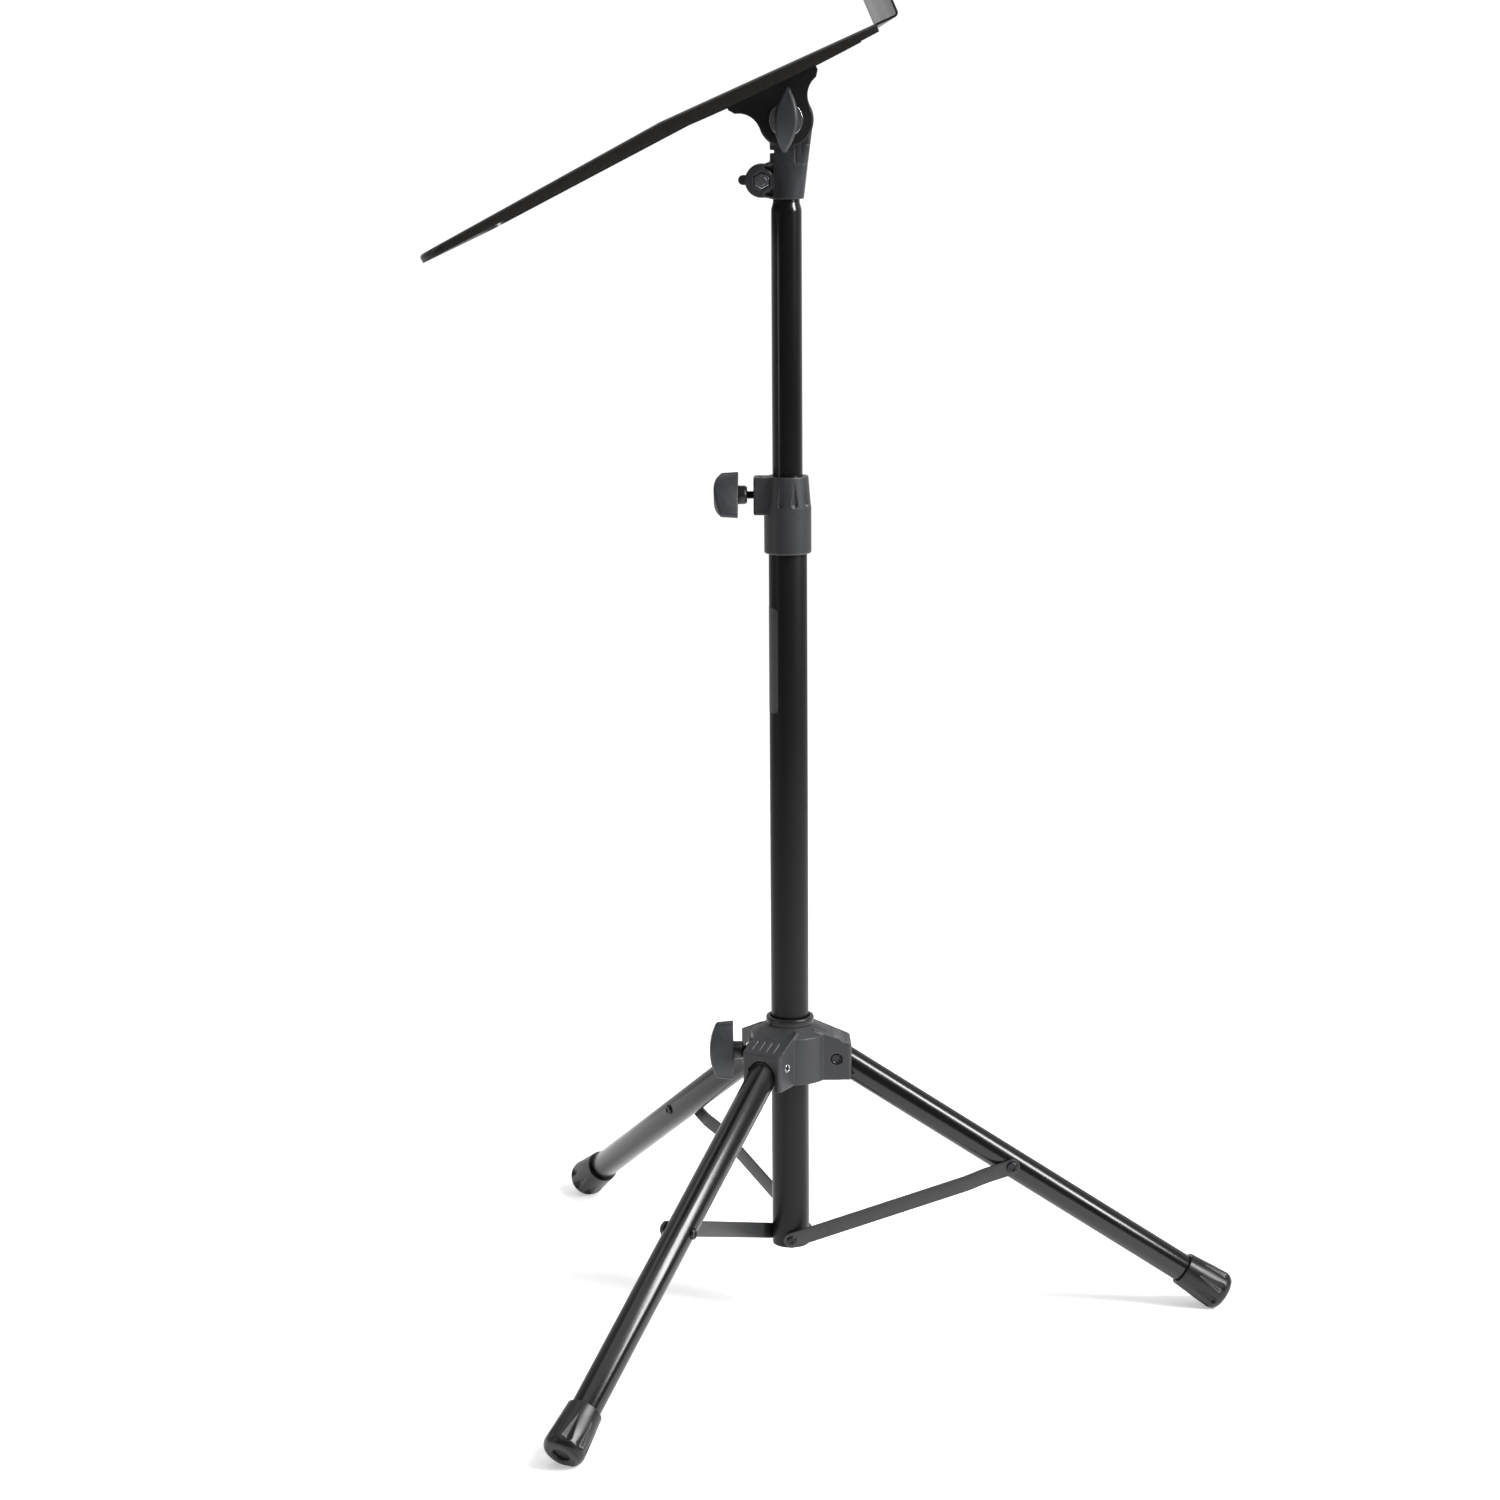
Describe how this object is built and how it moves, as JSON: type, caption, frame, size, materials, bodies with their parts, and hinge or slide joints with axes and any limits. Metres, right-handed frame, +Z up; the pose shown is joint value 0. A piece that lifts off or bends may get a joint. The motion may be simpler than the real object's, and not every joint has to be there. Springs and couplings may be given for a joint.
{
  "type": "folding music stand",
  "caption": "Folding music stand with a tripod on a sliding hub, a telescopic column with tee-handled clamps, and a tilting sheet-metal desk with a ledge.",
  "frame": {"origin": "middle of the stand on the floor, under the middle of its box", "axes": "+Z up; +X towards the side that the ledge is on; the desk tilts about Y, and its tilt knob faces -Y"},
  "size_m": [0.5746, 0.5888, 1.003],
  "materials": {
    "lower_tube_paint": "satin black powder coat",
    "gloss_black_paint": "gloss black paint",
    "desk_paint": "fine textured matt black powder coat",
    "bracket_paint": "matt black paint",
    "brace_paint": "dark grey satin paint",
    "head_paint": "dark grey satin paint over a die casting",
    "hub_plastic": "dark grey moulded nylon",
    "knob_plastic": "blue-grey moulded nylon",
    "black_plastic": "black moulded nylon",
    "pad_plastic": "natural white nylon",
    "foot_rubber": "smooth dark rubber",
    "bright_steel": "zinc plated",
    "dark_steel": "black zinc plated",
    "label_film": "printed film, left blank"
  },
  "bodies": {
    "column": {"lower_tube": "lower_tube_paint", "lower_tube_end_cap": "black_plastic", "brace_pivot_rivets": "dark_steel", "lower_tube_label": "label_film", "clamp_collar": "hub_plastic", "collar_nut": "bright_steel", "collar_pressure_pad": "pad_plastic"},
    "hub": {"hub_body": "hub_plastic", "hub_guide_bush": "black_plastic", "leg_pins": "bright_steel", "hub_nut": "bright_steel", "hub_pressure_pad": "pad_plastic"},
    "leg_right": {"leg_tube_right": "gloss_black_paint", "leg_plug_right": "black_plastic", "leg_rivet_right": "dark_steel", "foot_right": "foot_rubber"},
    "brace_right_link": {"brace_right": "brace_paint", "brace_rivet_right": "dark_steel"},
    "leg_rear": {"leg_tube_rear": "gloss_black_paint", "leg_plug_rear": "black_plastic", "leg_rivet_rear": "dark_steel", "foot_rear": "foot_rubber"},
    "brace_rear_link": {"brace_rear": "brace_paint", "brace_rivet_rear": "dark_steel"},
    "leg_front": {"leg_tube_front": "gloss_black_paint", "leg_plug_front": "black_plastic", "leg_rivet_front": "dark_steel", "foot_front": "foot_rubber"},
    "brace_front_link": {"brace_front": "brace_paint", "brace_rivet_front": "dark_steel"},
    "hub_knob": {"hub_knob_grip": "knob_plastic", "hub_knob_ferrule": "black_plastic", "hub_knob_screw": "bright_steel"},
    "collar_knob": {"collar_knob_grip": "knob_plastic", "collar_knob_ferrule": "black_plastic", "collar_knob_screw": "bright_steel"},
    "upper_mast": {"upper_tube": "gloss_black_paint", "upper_tube_guide": "black_plastic"},
    "head": {"head_casting": "head_paint", "clamp_nut": "bright_steel", "tilt_friction_washers": "black_plastic"},
    "clamp_wing_screw": {"clamp_screw": "bright_steel", "clamp_wing": "knob_plastic"},
    "desk": {"desk_plate": "desk_paint", "desk_bracket": "bracket_paint", "desk_screws": "dark_steel", "tilt_bolt": "dark_steel"},
    "tilt_knob": {"tilt_knob_washer": "bright_steel", "tilt_knob_ferrule": "black_plastic", "tilt_knob_grip": "knob_plastic"}
  },
  "joints": [
    {"name": "hub_slide", "type": "slide", "parent": "column", "child": "hub", "axis": [0, 0, 1], "range_m": [0, 0.1892]},
    {"name": "leg_right_fold", "type": "hinge", "parent": "hub", "child": "leg_right", "pos_m": [-0.01545, 0.00589, 0.2041], "axis": [-0.0305, 0.9995, 0], "range_deg": [0, 57]},
    {"name": "leg_rear_fold", "type": "hinge", "parent": "hub", "child": "leg_rear", "pos_m": [-0.06732, 0.03376, 0.2041], "axis": [-0.8504, -0.5262, 0], "range_deg": [0, 57]},
    {"name": "leg_front_fold", "type": "hinge", "parent": "hub", "child": "leg_front", "pos_m": [-0.06552, -0.0251, 0.2041], "axis": [0.8809, -0.4733, 0], "range_deg": [0, 57]},
    {"name": "brace_right_swing", "type": "hinge", "parent": "column", "child": "brace_right_link", "pos_m": [-0.04896, -0.01049, 0.0619], "axis": [0.0305, -0.9995, 0], "range_deg": [0, 60.9]},
    {"name": "brace_rear_swing", "type": "hinge", "parent": "column", "child": "brace_rear_link", "pos_m": [-0.03638, 0.01293, 0.0619], "axis": [0.8504, 0.5262, 0], "range_deg": [0, 60.9]},
    {"name": "brace_front_swing", "type": "hinge", "parent": "column", "child": "brace_front_link", "pos_m": [-0.06295, 0.01212, 0.0619], "axis": [-0.8809, 0.4733, 0], "range_deg": [0, 60.9]},
    {"name": "hub_knob_turn", "type": "hinge", "parent": "hub", "child": "hub_knob", "pos_m": [-0.08941, 0.00363, 0.2076], "axis": [-0.9995, -0.0305, 0], "range_deg": [0, 450]},
    {"name": "collar_knob_turn", "type": "hinge", "parent": "column", "child": "collar_knob", "pos_m": [-0.08143, 0.00485, 0.6264], "axis": [-1, 0, 0], "range_deg": [0, 450]},
    {"name": "upper_mast_slide", "type": "slide", "parent": "column", "child": "upper_mast", "axis": [0, 0, 1], "range_m": [-0.19, 0.225]},
    {"name": "head_swivel", "type": "hinge", "parent": "upper_mast", "child": "head", "pos_m": [-0.04943, 0.00485, 0.85], "axis": [0, 0, 1], "continuous": true},
    {"name": "clamp_wing_turn", "type": "hinge", "parent": "head", "child": "clamp_wing_screw", "pos_m": [-0.06693, 0.01685, 0.8513], "axis": [0, 1, 0], "range_deg": [0, 450]},
    {"name": "desk_tilt", "type": "hinge", "parent": "head", "child": "desk", "pos_m": [-0.04943, 0.00485, 0.8939], "axis": [0, 1, 0], "range_deg": [-35, 110]},
    {"name": "tilt_knob_turn", "type": "hinge", "parent": "desk", "child": "tilt_knob", "pos_m": [-0.04943, -0.01915, 0.8939], "axis": [0, -1, 0], "range_deg": [0, 450]}
  ],
  "couplings": [
    {"joint": "leg_right_fold", "follows": "hub_slide", "rad_per_m": 5.2312},
    {"joint": "leg_rear_fold", "follows": "hub_slide", "rad_per_m": 5.2312},
    {"joint": "leg_front_fold", "follows": "hub_slide", "rad_per_m": 5.2312},
    {"joint": "brace_right_swing", "follows": "hub_slide", "rad_per_m": 5.594},
    {"joint": "brace_rear_swing", "follows": "hub_slide", "rad_per_m": 5.594},
    {"joint": "brace_front_swing", "follows": "hub_slide", "rad_per_m": 5.594}
  ]
}
